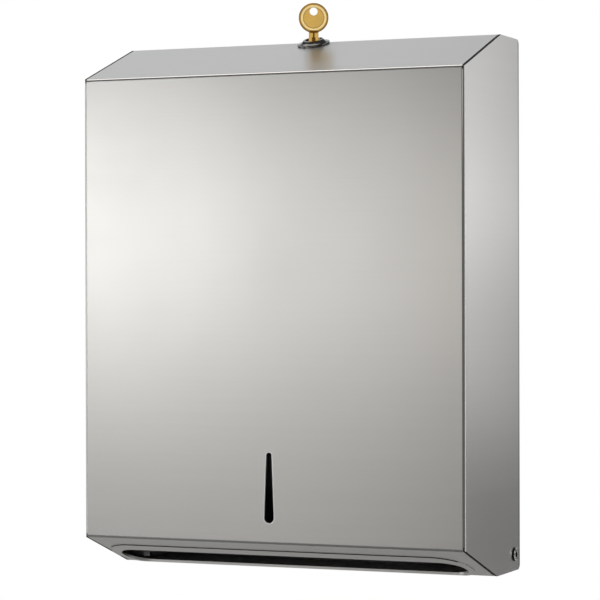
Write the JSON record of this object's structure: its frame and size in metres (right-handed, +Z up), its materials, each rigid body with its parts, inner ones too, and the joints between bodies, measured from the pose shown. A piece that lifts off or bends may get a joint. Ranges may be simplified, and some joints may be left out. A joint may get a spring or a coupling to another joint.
{
  "type": "towel dispenser",
  "caption": "Wall cabinet of satin folded steel that feeds folded paper towels out of a mouth in its underside, with a drop-front cover and a keyed cam lock.",
  "frame": {"origin": "middle of the wall screw pattern, on the wall", "axes": "+Z up, the front faces -Y, the wall is the plane y = 0"},
  "size_m": [0.2836, 0.1195, 0.3957],
  "materials": {
    "cover_steel": "satin, even and finely brushed",
    "cabinet_steel": "mill finish, duller than the cover",
    "rivet_steel": "bright drawn",
    "nylon": "natural nylon",
    "collar_chrome": "dark chrome, glossy",
    "lock_nickel": "nickel plated",
    "seat_plastic": "matt black",
    "plug_brass": "machined",
    "key_brass": "tumbled, worn bright"
  },
  "bodies": {
    "cabinet": {"back_plate": "cabinet_steel", "towel_tray": "cabinet_steel", "tray_rivets": "rivet_steel", "strike_bracket": "cabinet_steel", "strike_rivets": "rivet_steel", "left_pivot_rivet": "rivet_steel", "right_pivot_rivet": "rivet_steel", "left_pivot_spacer": "nylon", "right_pivot_spacer": "nylon", "left_backing_washer": "rivet_steel", "right_backing_washer": "rivet_steel"},
    "cover": {"front_cover": "cover_steel", "mouth_rim": "cover_steel", "lock_collar": "collar_chrome", "lock_barrel": "lock_nickel", "lock_seat": "seat_plastic", "lock_washer": "lock_nickel", "lock_nut": "lock_nickel"},
    "lock_core": {"lock_plug": "plug_brass", "lock_wafers": "plug_brass", "lock_cam": "lock_nickel", "cam_washer": "lock_nickel", "cam_screw": "lock_nickel"},
    "key": {"key": "key_brass"}
  },
  "joints": [
    {"name": "cover_hinge", "type": "hinge", "parent": "cabinet", "child": "cover", "pos_m": [0, -0.0165, -0.1726], "axis": [1, 0, 0], "range_deg": [0, 90]},
    {"name": "lock_turn", "type": "hinge", "parent": "cover", "child": "lock_core", "pos_m": [0.0042, -0.0493, 0.17], "axis": [0, 0, 1], "range_deg": [-24, 66]},
    {"name": "key_slide", "type": "slide", "parent": "lock_core", "child": "key", "axis": [0, 0, 1], "range_m": [0, 0.02]}
  ]
}
